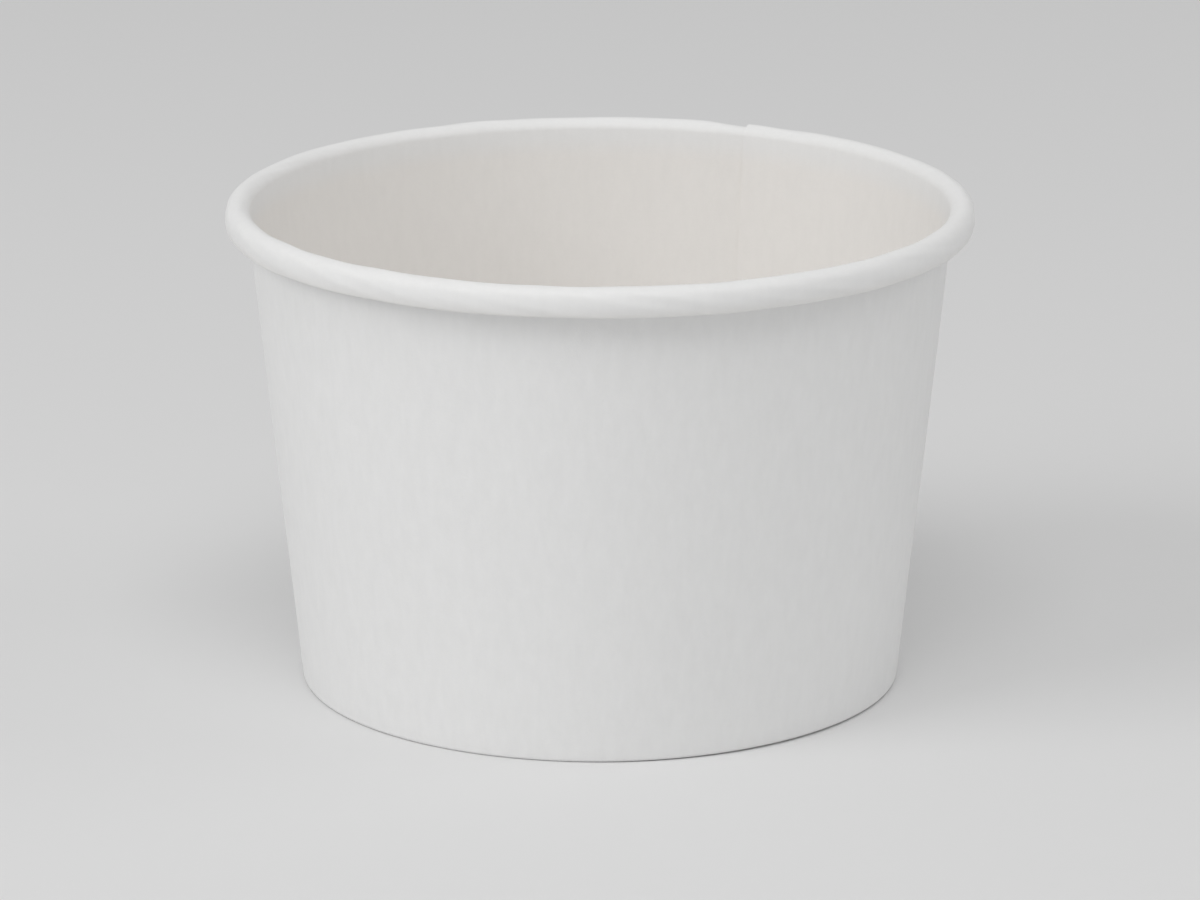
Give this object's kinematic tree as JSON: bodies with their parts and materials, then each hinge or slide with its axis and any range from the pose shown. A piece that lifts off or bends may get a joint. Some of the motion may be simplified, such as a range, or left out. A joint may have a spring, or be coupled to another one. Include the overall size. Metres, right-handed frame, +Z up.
{
  "type": "paper sundae cup",
  "caption": "Tapered white paper dessert cup with a rolled rim, a lapped side seam and a raised bottom set in a folded foot, open at the top for ice cream or a sundae.",
  "frame": {"origin": "middle of the foot, on the table that the cup stands on", "axes": "+Z up along the cup's axis; +X to the right and -Y to the front as the picture shows the cup, with the side seam at the back right"},
  "size_m": [0.096, 0.096, 0.0632],
  "materials": {
    "wall_board": "white uncoated-looking cup board, matt outside, thin satin film inside",
    "disc_board": "white cup board, thin satin film on the upper face, matt below"
  },
  "bodies": {
    "root": {"side_wall": "wall_board", "bottom_disc": "disc_board"}
  },
  "joints": []
}
